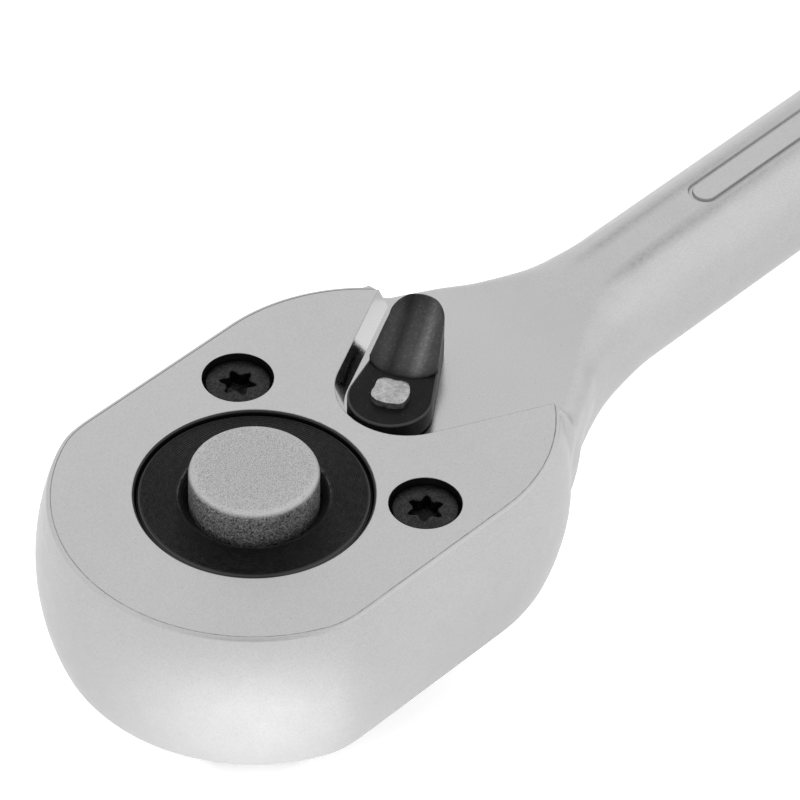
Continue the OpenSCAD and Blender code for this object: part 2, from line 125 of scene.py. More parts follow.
# ---- mesh helpers
def piece(name, verts, faces):
    me = bpy.data.meshes.new(name)
    me.from_pydata([(x * MM, y * MM, z * MM) for x, y, z in verts], [], faces)
    bm = bmesh.new()
    bm.from_mesh(me)
    bmesh.ops.remove_doubles(bm, verts=bm.verts, dist=1e-7)
    bmesh.ops.recalc_face_normals(bm, faces=bm.faces)
    bm.to_mesh(me)
    bm.free()
    ob = bpy.data.objects.new(name, me)
    scene.collection.objects.link(ob)
    return ob


def bridge(rings, n):
    """Faces between successive rings of n vertices each."""
    faces = []
    for i in range(rings - 1):
        a, b = i * n, (i + 1) * n
        for j in range(n):
            k = (j + 1) % n
            faces.append((a + j, a + k, b + k, b + j))
    return faces


def lathe(name, profile, steps=128, place=None, loop=False):
    """Turns (radius, height) points about Z; place is a matrix in mm."""
    verts, rings = [], []
    for r, h in profile:
        if r < 1e-6:
            rings.append([len(verts)])
            verts.append((0, 0, h))
        else:
            rings.append(list(range(len(verts), len(verts) + steps)))
            for s in range(steps):
                a = TAU * s / steps
                verts.append((r * math.cos(a), r * math.sin(a), h))
    faces = []
    pairs = list(zip(rings, rings[1:]))
    if loop:
        pairs.append((rings[-1], rings[0]))
    for p, q in pairs:
        for s in range(steps):
            t = (s + 1) % steps
            if len(p) == 1 and len(q) == 1:
                break
            if len(p) == 1:
                faces.append((p[0], q[t], q[s]))
            elif len(q) == 1:
                faces.append((p[s], p[t], q[0]))
            else:
                faces.append((p[s], p[t], q[t], q[s]))
    if place is not None:
        verts = [tuple(place @ Vector(v)) for v in verts]
    return piece(name, verts, faces)


def inset(outline, d):
    """The outline, counter-clockwise, moved inward by d."""
    n, out = len(outline), []
    for i in range(n):
        ax, ay = outline[i - 1]
        bx, by = outline[i]
        cx, cy = outline[(i + 1) % n]
        ux, uy = bx - ax, by - ay
        vx, vy = cx - bx, cy - by
        lu, lv = math.hypot(ux, uy) or 1, math.hypot(vx, vy) or 1
        n1, n2 = (-uy / lu, ux / lu), (-vy / lv, vx / lv)
        mx, my = n1[0] + n2[0], n1[1] + n2[1]
        m = math.hypot(mx, my) or 1
        mx, my = mx / m, my / m
        k = d / max(0.35, mx * n1[0] + my * n1[1])
        out.append((bx + mx * k, by + my * k))
    return out


def prism(name, outline, levels, place=None):
    """A closed solid: the outline inset by d at each height in levels [(z, d), ...]."""
    verts, n = [], len(outline)
    for z, d in levels:
        verts += [(x, y, z) for x, y in (inset(outline, d) if d else outline)]
    faces = bridge(len(levels), n)
    faces.append(tuple(range(n - 1, -1, -1)))
    faces.append(tuple(range((len(levels) - 1) * n, len(levels) * n)))
    if place is not None:
        verts = [tuple(place @ Vector(v)) for v in verts]
    return piece(name, verts, faces)


def carve(ob, *tools, mode="DIFFERENCE"):
    """Applies each tool to ob with an exact boolean, and removes the tools."""
    for t in tools:
        m = ob.modifiers.new("carve", "BOOLEAN")
        m.operation, m.object, m.solver = mode, t, "EXACT"
    dg = bpy.context.evaluated_depsgraph_get()
    dg.update()
    made = bpy.data.meshes.new_from_object(ob.evaluated_get(dg))
    ob.modifiers.clear()
    old, ob.data = ob.data, made
    bpy.data.meshes.remove(old)
    for t in tools:
        bpy.data.objects.remove(t)
    return ob


def dress(ob, material, body, nodes=(), angle=32):
    """Smooth shading with real edges kept, then the material, the body and the CAD nodes it stands for."""
    bm = bmesh.new()
    bm.from_mesh(ob.data)
    bmesh.ops.dissolve_degenerate(bm, dist=2e-7, edges=bm.edges)
    bm.to_mesh(ob.data)
    bm.free()
    ob.data.polygons.foreach_set("use_smooth", [True] * len(ob.data.polygons))
    ob.data.set_sharp_from_angle(angle=math.radians(angle))
    w = ob.modifiers.new("normals", "WEIGHTED_NORMAL")
    w.mode, w.keep_sharp, w.weight = "FACE_AREA", True, 50
    ob.data.materials.clear()
    ob.data.materials.append(material)
    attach(ob, body)
    if nodes:
        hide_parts(*nodes)
    return ob


def arc(cx, cy, r, a0, a1, n):
    return [(cx + r * math.cos(a0 + (a1 - a0) * i / n), cy + r * math.sin(a0 + (a1 - a0) * i / n))
            for i in range(n + 1)]


def ease(t):
    t = min(1.0, max(0.0, t))
    return t * t * (3 - 2 * t)


def smin(a, b, k):
    h = max(k - abs(a - b), 0.0) / k
    return min(a, b) - h * h * k / 4


def smax(a, b, k):
    return -smin(-a, -b, k)


# ---- material helpers
class Nodes:
    """Short names for building a procedural material in millimetre coordinates."""

    def __init__(self, name):
        self.m = bpy.data.materials.new(name)
        self.m.use_nodes = True
        self.t = self.m.node_tree
        self.bsdf = self.t.nodes["Principled BSDF"]
        co = self.t.nodes.new("ShaderNodeTexCoord")
        mp = self.t.nodes.new("ShaderNodeMapping")
        mp.inputs["Scale"].default_value = (1000, 1000, 1000)
        self.t.links.new(co.outputs["Object"], mp.inputs["Vector"])
        self.mm = mp.outputs["Vector"]
        self.heights = []

    def set(self, **values):
        names = {"metallic": "Metallic", "specular": "Specular IOR Level"}
        for k, v in values.items():
            self.bsdf.inputs[names[k]].default_value = v
        return self

    def noise(self, scale, detail=2.0, rough=0.5, vector=None):
        n = self.t.nodes.new("ShaderNodeTexNoise")
        n.inputs["Scale"].default_value = scale
        n.inputs["Detail"].default_value = detail
        n.inputs["Roughness"].default_value = rough
        self.t.links.new(vector or self.mm, n.inputs["Vector"])
        return n.outputs["Fac"]

    def ramp(self, value, stops):
        r = self.t.nodes.new("ShaderNodeValToRGB")
        e = r.color_ramp.elements
        while len(e) < len(stops):
            e.new(0.5)
        for el, (p, c) in zip(e, stops):
            el.position = p
            el.color = (*c, 1) if isinstance(c, tuple) else (c, c, c, 1)
        self.t.links.new(value, r.inputs["Fac"])
        return r.outputs["Color"]

    def math(self, op, a, b=None):
        n = self.t.nodes.new("ShaderNodeMath")
        n.operation = op
        for i, v in enumerate((a, b)):
            if v is None:
                continue
            if isinstance(v, (int, float)):
                n.inputs[i].default_value = v
            else:
                self.t.links.new(v, n.inputs[i])
        return n.outputs[0]

    def times(self, first, *rest):
        for v in rest:
            first = self.math("MULTIPLY", first, v)
        return first

    def between(self, value, lo, hi):
        return self.times(self.math("LESS_THAN", value, hi), self.math("GREATER_THAN", value, lo))

    def mix(self, fac, a, b, blend="MIX"):
        n = self.t.nodes.new("ShaderNodeMix")
        n.data_type, n.blend_type = "RGBA", blend
        for sock, v in ((n.inputs[0], fac), (n.inputs[6], a), (n.inputs[7], b)):
            if isinstance(v, (int, float)):
                sock.default_value = v
            elif isinstance(v, tuple):
                sock.default_value = (*v, 1)
            else:
                self.t.links.new(v, sock)
        return n.outputs[2]

    def paint(self, base, mask, amount, grey):
        """base, with an amount of grey where the mask is 1."""
        return self.mix(self.times(mask, amount), base, (grey,) * 3)

    def parts(self):
        n = self.t.nodes.new("ShaderNodeSeparateXYZ")
        self.t.links.new(self.mm, n.inputs[0])
        return n.outputs

    def stretched(self, scale):
        mp = self.t.nodes.new("ShaderNodeMapping")
        mp.inputs["Scale"].default_value = scale
        self.t.links.new(self.mm, mp.inputs["Vector"])
        return mp.outputs["Vector"]

    def colour(self, socket):
        self.t.links.new(socket, self.bsdf.inputs["Base Color"])
        return self

    def roughness(self, socket):
        self.t.links.new(socket, self.bsdf.inputs["Roughness"])
        return self

    def bump(self, height, depth_mm, strength=1.0):
        b = self.t.nodes.new("ShaderNodeBump")
        b.inputs["Strength"].default_value = strength
        b.inputs["Distance"].default_value = depth_mm * MM
        self.t.links.new(height, b.inputs["Height"])
        if self.heights:
            self.t.links.new(self.heights[-1], b.inputs["Normal"])
        self.heights.append(b.outputs["Normal"])
        self.t.links.new(b.outputs["Normal"], self.bsdf.inputs["Normal"])
        return self


def satin_chrome(name, tone, rough):
    """Plated steel with a fine grain. Returns the helper and its grain, base colour and roughness."""
    m = Nodes(name).set(metallic=1.0)
    coordinates = m.parts()[:3]
    broad = m.ramp(m.noise(0.06, 3), [(0.3, 0.0), (0.7, 1.0)])
    grain = m.noise(7.5, 3, 0.7)
    base = m.mix(broad, (tone * 0.975,) * 3, (tone * 1.01,) * 3)
    base = m.mix(1.0, base, m.ramp(grain, [(0.25, 0.86), (0.75, 1.14)]), "MULTIPLY")
    pits = m.ramp(m.noise(3.1, 2, 0.6), [(0.255, 1.0), (0.275, 0.0)])
    base = m.paint(base, pits, 0.45, tone * 0.45)
    rough_now = m.ramp(m.noise(0.5, 4), [(0.25, rough - 0.03), (0.75, rough + 0.03)])
    return m, coordinates, grain, base, rough_now


def finish_chrome(m, grain, base, rough):
    m.colour(base)
    m.roughness(rough)
    m.bump(grain, 0.008, 0.6)
    m.bump(m.noise(0.35, 2), 0.02, 0.3)
    return m.m


def body_chrome(name, tone, rough, deck_rough=0.20):
    m, (x, y, z), grain, base, rough_now = satin_chrome(name, tone, rough)
    # the deck the lever sweeps over is ground smoother than the rest
    deck = m.between(z, DECK - 0.02, DECK + 0.02)
    deck = m.times(deck, m.ramp(m.math("DIVIDE", x, 44.0), [(0.62, 1.0), (0.95, 0.0)]))
    rough_now = m.mix(deck, rough_now, (deck_rough,) * 3)
    base = m.paint(base, deck, 0.05, 0.0)
    # painted shade: a dark line, broken unevenly, along both edges of the shank's upper flat
    off = m.math("ABSOLUTE", m.math("SUBTRACT", m.math("ABSOLUTE", y), 2.35))
    line = m.ramp(m.math("DIVIDE", off, 2.0), [(0.0, 1.0), (0.55, 0.0)])
    along = m.math("DIVIDE", m.math("SUBTRACT", x, 50.0), 60.0)
    run = m.ramp(along, [(0.0, 0.0), (0.10, 1.0), (0.40, 0.8), (0.70, 0.2)])
    above = m.math("GREATER_THAN", z, HANDLE_Z + 4)
    uneven = m.ramp(m.noise(1.6, 4, 0.7), [(0.25, 0.35), (0.7, 1.0)])
    base = m.paint(base, m.times(line, run, above, uneven), 0.62, tone * 0.45)
    return finish_chrome(m, grain, base, rough_now)


def cover_chrome(name, tone, rough, wall_rough=0.06):
    m, (x, y, z), grain, base, rough_now = satin_chrome(name, tone, rough)
    # the opening's wall is smooth and painted bright, a painted highlight; the cover's other cut walls are painted
    # dark, painted shade
    cut_face = m.math("LESS_THAN", z, HEAD_TOP - 0.05)
    v_line = m.math("SUBTRACT", m.math("ABSOLUTE", y), m.times(x, math.tan(NOTCH_ANGLE)))
    in_notch = m.times(m.math("LESS_THAN", v_line, -2.3), m.math("GREATER_THAN", x, 14.0))
    wall = m.times(cut_face, in_notch)
    rough_now = m.mix(wall, rough_now, (wall_rough,) * 3)
    base = m.mix(cut_face, base, (tone * 0.10,) * 3)
    base = m.mix(wall, base, (0.88,) * 3)
    # painted shade: a thin dark line along the seam, in patches, stronger on one side
    corner = m.between(z, HEAD_TOP - 0.06, HEAD_TOP - 0.003)
    wear_and_shade_patches = m.ramp(m.noise(0.9, 4, 0.7), [(0.35, 0.25), (0.6, 1.0)])
    side = m.ramp(m.math("DIVIDE", m.math("SUBTRACT", 14.0, y), 14.0), [(0.0, 0.2), (1.0, 1.0)])
    base = m.mix(m.times(corner, m.times(wear_and_shade_patches, side, 0.58)), base, (tone * 0.12,) * 3)
    return finish_chrome(m, grain, base, rough_now)


def black_turned(name, tone, pitch, rough, depth, edges=False):
    """Blackened steel with turned lines round Z."""
    m = Nodes(name).set(metallic=1.0)
    x, y = m.parts()[:2]
    r = m.math("SQRT", m.math("ADD", m.times(x, x), m.times(y, y)))
    lines = m.math("SINE", m.times(r, TAU / pitch))
    uneven = m.noise(2.0, 3)
    fine = m.noise(8.0, 2, 0.7)
    specks = m.ramp(m.noise(5.5, 2, 0.6), [(0.63, 0.0), (0.72, 1.0)])
    base = m.mix(m.ramp(uneven, [(0.3, 0.0), (0.7, 1.0)]), (tone * 0.75,) * 3, (tone * 1.3,) * 3)
    base = m.mix(1.0, base, m.ramp(fine, [(0.3, 0.25), (0.7, 2.0)]), "MULTIPLY")
    if edges:
        # painted highlight: the outer chamfer is painted paler all round; the rim of the countersink is paler in
        # broken patches
        out = m.math("DIVIDE", r, 13.0)
        outer = m.ramp(out, [(0.888, 0.0), (0.905, 1.0), (0.926, 1.0), (0.933, 0.0)])
        inner = m.ramp(out, [(0.584, 0.0), (0.594, 1.0), (0.604, 1.0), (0.614, 0.0)])
        inner = m.times(inner, m.ramp(m.noise(2.6, 4, 0.75), [(0.38, 0.0), (0.58, 1.0)]))
        base = m.paint(base, outer, 0.8, tone * 6.0)
        base = m.paint(base, inner, 0.9, tone * 10.0)
    m.colour(m.paint(base, specks, 0.35, tone * 7))
    m.roughness(m.ramp(uneven, [(0.2, rough - 0.05), (0.8, rough + 0.06)]))
    m.bump(lines, depth, 0.6)
    m.bump(fine, 0.006, 0.5)
    return m.m


def blasted(name, tone, rough):
    """Blasted steel of the button: its wall is coarser in grain and painted darker than its crown, a painted dark
    reflection, and the rounding of its crown has a painted highlight.
    """
    m = Nodes(name).set(metallic=1.0)
    grain = m.noise(7.0, 4, 0.8)
    pits = m.ramp(m.noise(6.5, 2, 0.7), [(0.30, 1.0), (0.38, 0.0)])
    base = m.ramp(grain, [(0.32, tone * 0.50), (0.5, tone), (0.68, tone * 1.40)])
    down = m.math("SUBTRACT", BUTTON_TOP, m.parts()[2])
    wall = m.ramp(down, [(0.62, 0.0), (0.98, 1.0)])
    # painted highlight: a paler band round the rounding of the crown
    crown_highlight = m.ramp(down, [(0.02, 0.0), (0.34, 1.0), (0.46, 1.0), (0.82, 0.0)])
    base = m.paint(base, crown_highlight, 0.7, tone * 1.45)
    # painted reflection: the wall is painted darker, with coarse grain, for the dark ring it reflects
    grain_and_reflection = m.ramp(m.noise(4.4, 3, 0.8), [(0.38, 0.12), (0.62, 1.50)])
    base = m.mix(wall, base, m.mix(1.0, base, grain_and_reflection, "MULTIPLY"))
    m.colour(m.paint(base, pits, 0.75, tone * 0.22))
    m.roughness(m.ramp(grain, [(0.3, rough + 0.08), (0.7, rough - 0.05)]))
    m.bump(m.noise(4.6, 4, 0.8), 0.14, 0.9)
    return m.m


def black_satin(name, tone, rough):
    """Black finish of the lever, with painted highlight streaks on its thumb pad and a painted highlight along its
    upper edge.
    """
    m = Nodes(name).set(metallic=0.0, specular=0.07)
    x, y, z = m.parts()[:3]
    wear = m.noise(0.55, 4, 0.6)
    wear_and_shade_patches = m.ramp(m.noise(2.8, 4, 0.75), [(0.52, 0.0), (0.72, 1.0)])
    specks = m.ramp(m.noise(5.0, 3, 0.7), [(0.63, 0.0), (0.74, 1.0)])
    base = m.mix(m.ramp(wear, [(0.35, 0.0), (0.75, 1.0)]), (tone,) * 3, (tone * 1.8,) * 3)
    base = m.paint(base, wear_and_shade_patches, 0.5, tone * 3.0)
    # painted highlight streaks with painted shade between them, on the thumb pad; the bands run along the lever
    c, q = math.cos(LEVER_ANGLE), math.sin(LEVER_ANGLE)
    from_pivot = m.math("SUBTRACT", x, SELECTOR_X)
    across_lever = m.math("SUBTRACT", m.times(y, c), m.times(from_pivot, q))
    along_lever = m.math("ADD", m.times(y, q), m.times(from_pivot, c))
    bands = m.ramp(m.math("DIVIDE", m.math("ADD", across_lever, 3.2), 6.4),
                   [(0.0, 0.30), (0.12, 0.42), (0.25, 1.0), (0.40, 0.42),
                    (0.52, 0.38), (0.68, 0.12), (0.84, 0.35), (1.0, 0.22)])
    patchy = m.ramp(wear_and_shade_patches, [(0.0, 0.72), (1.0, 1.35)])
    fade = m.ramp(m.math("DIVIDE", along_lever, 13.0), [(0.2, 0.5), (0.45, 1.0), (0.8, 0.8), (1.0, 0.25)])
    pad = m.ramp(m.math("SUBTRACT", z, PLATE_TOP), [(0.05, 0.0), (0.35, 1.0)])
    base = m.mix(m.times(pad, m.times(bands, patchy, fade)), base, (0.150,) * 3)
    # painted highlight along the rounding of the plate's upper edge
    base = m.paint(base, m.between(z, PLATE_TOP - 0.22, PLATE_TOP - 0.01), 0.42, 0.085)
    m.colour(m.paint(base, specks, 0.5, 0.11))
    m.roughness(m.ramp(wear, [(0.3, rough), (0.75, rough + 0.10)]))
    m.bump(m.noise(5.5, 3, 0.6), 0.010, 0.6)
    return m.m


def hammered(name, tone):
    """The staked end of the selector shaft."""
    m = Nodes(name).set(metallic=1.0)
    big, small = m.noise(1.1, 3, 0.6), m.noise(4.0, 4, 0.75)
    blotch = m.ramp(big, [(0.3, 0.72), (0.65, 1.15)])
    base = m.ramp(small, [(0.3, tone * 0.62), (0.5, tone), (0.75, tone * 1.25)])
    m.colour(m.mix(1.0, base, blotch, "MULTIPLY"))
    m.roughness(m.ramp(big, [(0.3, 0.34), (0.7, 0.48)]))
    m.bump(big, 0.16, 0.8)
    m.bump(small, 0.05, 0.7)
    return m.m


def ground(name, tone=0.55, rough=0.28, stretch=(6, 6, 0.5)):
    m = Nodes(name).set(metallic=1.0)
    scratch = m.noise(1.6, 3, 0.6, m.stretched(stretch))
    m.colour(m.ramp(scratch, [(0.3, tone * 0.9), (0.7, tone * 1.08)]))
    m.roughness(m.ramp(scratch, [(0.3, rough - 0.05), (0.7, rough + 0.1)]))
    m.bump(scratch, 0.006, 0.5)
    return m.m


def bronze(name, dark, light):
    m = Nodes(name).set(metallic=1.0)
    m.colour(m.ramp(m.noise(1.2, 3), [(0.3, dark), (0.7, light)]))
    m.roughness(m.ramp(m.noise(3.0, 2), [(0.3, 0.3), (0.7, 0.42)]))
    return m.m


def plastic(name, tone, rough, grain_scale, grain_depth):
    m = Nodes(name).set(specular=0.4)
    grain = m.noise(grain_scale, 3, 0.6)
    broad = m.noise(0.08, 3)
    m.colour(m.mix(m.ramp(broad, [(0.3, 0.0), (0.7, 1.0)]), (tone * 0.86,) * 3, (tone * 1.12,) * 3))
    m.roughness(m.ramp(grain, [(0.3, rough - 0.06), (0.7, rough + 0.08)]))
    m.bump(grain, grain_depth, 0.6)
    return m.m


CHROME = body_chrome("satin_chrome", 0.385, 0.46)
COVER = cover_chrome("satin_chrome_cover", 0.385, 0.42)
BLACK_GEAR = black_turned("black_turned_steel", 0.0082, 0.24, 0.34, 0.02, edges=True)
BLACK_SCREW = black_turned("black_screw_steel", 0.020, 0.3, 0.42, 0.002)
BLASTED = blasted("blasted_steel", 0.35, 0.42)
LEVER_BLACK = black_satin("satin_black_lever", 0.0032, 0.30)
HAMMERED = hammered("staked_steel", 0.33)
GROUND = ground("ground_steel")
PAWL_STEEL = ground("pawl_steel", 0.34, 0.34, (1, 1, 4))
SPRING = ground("spring_wire", 0.42, 0.3, (2, 2, 2))
BRONZE = bronze("bronze", (0.50, 0.33, 0.15), (0.66, 0.46, 0.22))
SEAL = plastic("seal_rubber", 0.015, 0.5, 4.0, 0.006)
HARD = plastic("hard_grip_plastic", 0.085, 0.42, 2.6, 0.012)
SOFT = plastic("soft_grip_rubber", 0.017, 0.62, 3.2, 0.03)


# ---- forged head, neck and shank
BARREL_R = ((HEAD_TOP - BULGE_Z) ** 2 + BULGE ** 2) / (2 * BULGE)


def barrel(z):
    """How far the flank stands out at height z."""
    return math.sqrt(BARREL_R ** 2 - (z - BULGE_Z) ** 2) - (BARREL_R - BULGE)


def rounding(z, bottom, top, r_bottom, r_top):
    """How far an edge rounding draws the side in at height z."""
    d = 0.0
    if z < bottom + r_bottom:
        e = min(r_bottom, bottom + r_bottom - z)
        d += r_bottom - math.sqrt(max(0.0, r_bottom ** 2 - e ** 2))
    if z > top - r_top:
        e = min(r_top, z - top + r_top)
        d += r_top - math.sqrt(max(0.0, r_top ** 2 - e ** 2))
    return d


def neck_radius(x):
    """Radius of the neck about the handle's centreline, levelling off where the head takes over."""
    if x >= NECK_END:
        return SHANK_R
    if x >= LEVEL_FROM:
        return SHANK_R + NECK_GROWTH * (NECK_END - x) ** 2
    slope = 2 * NECK_GROWTH * (NECK_END - LEVEL_FROM)
    run = LEVEL_FROM - max(x, LEVEL_AT)
    return neck_radius(LEVEL_FROM) + slope * run * (1 - run / (2 * (LEVEL_FROM - LEVEL_AT)))


def underside(x):
    start = HEAD_LOW + 0.7
    return start + (HANDLE_Z - FLAT_RISE - start) * ease((x - 30) / 24)


def section(x):
    """(bottom, top, bottom rounding, top rounding) of the body at x."""
    bottom = HEAD_LOW if x < 31 else max(HEAD_LOW, underside(x) - 0.7 * (1 - ease((x - 31) / 8)))
    top = HEAD_TOP - (HEAD_TOP - DECK) * ease((x - RIM_END) / RIM_FALL)
    top += (FLAT_TOP - DECK) * ease((x - 44) / 20)
    r_top = UPPER_EDGE + 1.9 * ease((x - RIM_END + 0.3) / 3.4) - 1.4 * ease((x - 46) / 16)
    return bottom, top, LOWER_EDGE, r_top


def neck_half(x, z):
    """Half width of the neck: squarish where it leaves the head, round on the shank."""
    r = neck_radius(x)
    fade = max(0.0, min(1.0, (NECK_END - x) / 23)) ** 1.9
    power = 2 + 2.8 * fade * (1.0 if z > HANDLE_Z else 0.25)
    wide = r * max(0.0, 1 - abs((z - HANDLE_Z) / r) ** power) ** (1 / power)
    above = ease((z - HANDLE_Z + 1.5) / 3)
    waist = ease((x - 38) / 4) * (1 - ease((x - 48) / 6))
    lower = ease((x - 35.5) / 3.5) * (0.28 + 0.28 * (1 - ease((x - 44) / 8)))
    return wide - above * 0.42 * waist - (1 - above) * lower


def half_width(x, z):
    """Half width of the body behind the nose at x and height z."""
    bottom, top, rb, rt = section(x)
    draw = rounding(z, bottom, top, rb, rt)
    wide = HALF_W + barrel(z) - draw
    if x <= BACK_X:
        return wide
    fuller = 0.35 * ease((12 - z) / 4) * ease((x - BACK_X) / 8)
    d = wide ** 2 - (x - BACK_X - fuller) ** 2
    rear = math.sqrt(d) if d > 0 else -10.0
    if x < 24:
        return rear
    blend = (1.1 + 2.0 * ease((z - 11) / 5)) * ease((x - 30.4) / 2.2) + 0.1
    return smax(rear, neck_half(x, z) - draw, blend)


def body_rows(x):
    """Heights of the body's rows of vertices at x."""
    bottom, top, rb, rt = section(x)
    rows = [bottom + rb * (1 - math.cos(a * math.pi / 16)) for a in range(8)]
    n = 14
    rows += [bottom + rb + (top - rt - bottom - rb) * i / n for i in range(n + 1)]
    rows += [top - rt * (1 - math.sin(a * math.pi / 12)) for a in range(1, 7)]
    return rows


def nose_swell(z):
    return barrel(z) - rounding(z, HEAD_LOW, HEAD_TOP, LOWER_EDGE, UPPER_EDGE)


def nose_point(r, h, turn):
    """A point of the nose, whose sides are flattened to a half width of h."""
    return -r * math.cos(turn), smin(r * math.sin(turn), h, 0.7)


def body_columns():
    """Columns of (x, half width, z) from bottom to top, from the nose to the handle's end."""
    columns = []
    nose = 44
    for i in range(1, nose + 1):
        column = []
        for z in body_rows(0):
            off = nose_swell(z)
            column.append((*nose_point(HEAD_R + off, HALF_W + off, (math.pi / 2) * i / nose), z))
        columns.append(column)
    xs = [BACK_X * i / 8 for i in range(1, 9)]
    x = BACK_X + 0.6
    while x < 66:
        xs.append(x)
        x += 0.3 if 27 < x < 42 else 0.7
    while x < GRIP_X + 3.5:
        xs.append(x)
        x += 4
    xs.append(GRIP_X + 3.9)
    for x in xs:
        columns.append([(x, max(0.01, half_width(x, z)), z) for z in body_rows(x)])
    return columns


def build_body():
    columns = body_columns()
    rows = len(columns[0])
    verts = [(-(HEAD_R + nose_swell(z)), 0, z) for z in body_rows(0)]  # the nose's middle line
    tip = list(range(rows))
    ids = {1: [], -1: []}
    for s in (1, -1):
        for column in columns:
            ids[s].append(list(range(len(verts), len(verts) + rows)))
            verts += [(x, s * y, z) for x, y, z in column]
    faces = []
    for s in (1, -1):
        cols = [tip] + ids[s]
        for a, b in zip(cols, cols[1:]):
            for j in range(rows - 1):
                faces.append((a[j], b[j], b[j + 1], a[j + 1]))
    left, right = [tip] + ids[1], [tip] + ids[-1]
    for j in (0, rows - 1):  # underside and top, one strip of quads across
        for i in range(len(left) - 1):
            f = (left[i][j], left[i + 1][j], right[i + 1][j], right[i][j])
            faces.append(tuple(dict.fromkeys(f)))
    end = ids[1][-1] + ids[-1][-1][::-1]
    faces.append(tuple(end))
    return piece("forged_body", verts, faces)


def wall_start():
    """Where the notch's round end meets its straight wall."""
    return NOTCH_X - NOTCH_R * math.sin(NOTCH_ANGLE), NOTCH_R * math.cos(NOTCH_ANGLE)


def head_half(d):
    """Upper half of the head's top outline, inset by d, from the nose to the notch wall."""
    r, h = HEAD_R - d, HALF_W - d
    pts = [nose_point(r, h, math.pi / 2 * i / 60) for i in range(61)]
    pts += [(BACK_X * i / 3, h) for i in range(1, 3)]
    tx, ty = wall_start()
    slope = math.tan(NOTCH_ANGLE)
    a, b = 1 + slope ** 2, 2 * (slope * (ty - tx * slope) - BACK_X)
    c = BACK_X ** 2 + (ty - tx * slope) ** 2 - h ** 2
    x = (-b + math.sqrt(b * b - 4 * a * c)) / (2 * a)
    y = ty + (x - tx) * slope
    pts += arc(BACK_X, 0, h, math.pi / 2, math.atan2(y, x - BACK_X), 24)
    return pts


def mirrored(upper):
    """A closed counter-clockwise outline from its upper half, given from the nose backwards."""
    axis = [p for p in upper if p[1] <= 1e-6]
    half = [p for p in upper if p[1] > 1e-6]
    front = [p for p in axis if p[0] < 0]
    rear = [p for p in axis if p[0] >= 0]
    return front + [(x, -y) for x, y in half] + rear + half[::-1]


def notch_outline():
    """The opening the lever swings in, in plan."""
    x, y = wall_start()
    edge = y + (OPEN_X - x) * math.tan(NOTCH_ANGLE)
    round_end = arc(NOTCH_X, 0, NOTCH_R, math.pi / 2 + NOTCH_ANGLE, 3 * math.pi / 2 - NOTCH_ANGLE, 60)
    return round_end + [(OPEN_X, -edge), (OPEN_X, edge)]


def cover_outline(d):
    """The cover's plan before the lever's opening is cut."""
    upper = head_half(d)
    x, y = upper[-1]
    turn = math.atan2(y, x - BACK_X)
    upper += arc(BACK_X, 0, HALF_W - d, turn - 0.01, turn - 0.05, 4)
    upper.append((upper[-1][0], 0.0))
    return mirrored(upper)


def recess_outline(d):
    """The cover's seat, open over the neck."""
    upper = head_half(d)
    x, y = upper[-1]
    upper += [(OPEN_X, y + (OPEN_X - x) * math.tan(NOTCH_ANGLE)), (OPEN_X, 0.0)]
    return mirrored(upper)


def stadium(x0, x1, r, n=20):
    return arc(x1 - r, 0, r, -math.pi / 2, math.pi / 2, n) + arc(x0 + r, 0, r, math.pi / 2, 3 * math.pi / 2, n)


def bar(r, z0, z1, x=0.0, y=0.0, steps=96):
    """A round cutter."""
    return lathe("tool", [(0, z0), (r, z0), (r, z1), (0, z1)], steps, Matrix.Translation((x, y, 0)))


def sector(r0, r1, half, n=30):
    return arc(0, 0, r1, -half, half, n) + arc(0, 0, r0, half, -half, n)


body = build_body()
# a plain outline is sunk into the shank's flat
panel = prism("tool", stadium(68, 100, 1.9),
              [(FLAT_TOP - 0.3, 0.14), (FLAT_TOP - 0.12, 0.04), (FLAT_TOP + 0.02, -0.04), (FLAT_TOP + 1, -0.4)])
island = prism("tool", stadium(68.55, 99.45, 1.35),
               [(FLAT_TOP - 0.6, -0.14), (FLAT_TOP - 0.3, -0.1), (FLAT_TOP - 0.05, 0.0), (FLAT_TOP + 2, 0.6)])
carve(panel, island)
carve(
    body,
    prism("tool", recess_outline(RIM - 0.025), [(DECK, 0.0), (HEAD_TOP + 1, 0.0)]),
    bar(13.5, POCKET_LOW, DECK + 1, steps=160),
    lathe("tool", [(0, HEAD_LOW - 1), (12.5, HEAD_LOW - 1), (11.05, HEAD_LOW + 0.45), (11.05, POCKET_LOW + 1),
                   (0, POCKET_LOW + 1)], 160),
    prism("tool", sector(10, 17.5, math.radians(40)), [(POCKET_LOW + 0.5, 0.0), (DECK - 1.3, 0.0)]),
    bar(0.95, HEAD_LOW - 1, 16.8, x=14.9, steps=40),
    bar(3.05, POCKET_LOW, DECK + 1, x=SELECTOR_X, steps=96),
    bar(SCREW_R * 0.56, 8.8, DECK + 1, x=SCREW_X, y=SCREW_Y, steps=48),
    bar(SCREW_R * 0.56, 8.8, DECK + 1, x=SCREW_X, y=-SCREW_Y, steps=48),
    panel,
)
dress(body, CHROME, "wrench_body", ["head_body"], 30)

# ---- cover plate
cover = prism("cover", cover_outline(RIM),
              [(DECK, 0.0), (HEAD_TOP - 0.07, 0.0), (HEAD_TOP - 0.025, 0.015), (HEAD_TOP, 0.09)])
